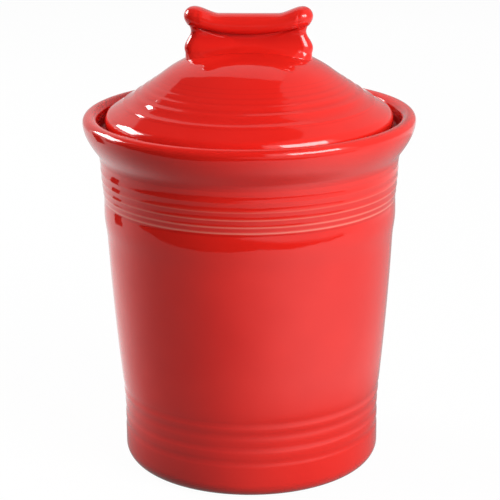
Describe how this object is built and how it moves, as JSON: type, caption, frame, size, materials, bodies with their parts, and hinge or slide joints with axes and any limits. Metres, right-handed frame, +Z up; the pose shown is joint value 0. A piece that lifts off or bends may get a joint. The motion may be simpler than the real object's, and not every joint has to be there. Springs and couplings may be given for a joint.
{
  "type": "dog treat jar",
  "caption": "Glazed stoneware dog treat jar: a flared, ring-banded canister with a domed lift-off lid, a bone-shaped handle and a soft lid seal.",
  "frame": {"origin": "centre of the foot ring, on the surface that the jar stands on", "axes": "+Z up along the jar's axis, +X along the bone handle, the pictured side faces -Y"},
  "size_m": [0.168, 0.168, 0.2368],
  "materials": {
    "red_glaze": "high-gloss red glaze over stoneware, with a dry foot ring",
    "seal_silicone": "satin milky silicone"
  },
  "bodies": {
    "jar": {"jar": "red_glaze"},
    "seal": {"seal_ring": "seal_silicone"},
    "lid": {"lid": "red_glaze", "bone_handle": "red_glaze"}
  },
  "joints": [
    {"name": "lid_lift", "type": "slide", "parent": "jar", "child": "seal", "axis": [0, 0, 1], "range_m": [0, 0.15]},
    {"name": "lid_turn", "type": "hinge", "parent": "seal", "child": "lid", "pos_m": [0, 0, 0.174], "axis": [0, 0, 1], "continuous": true}
  ]
}
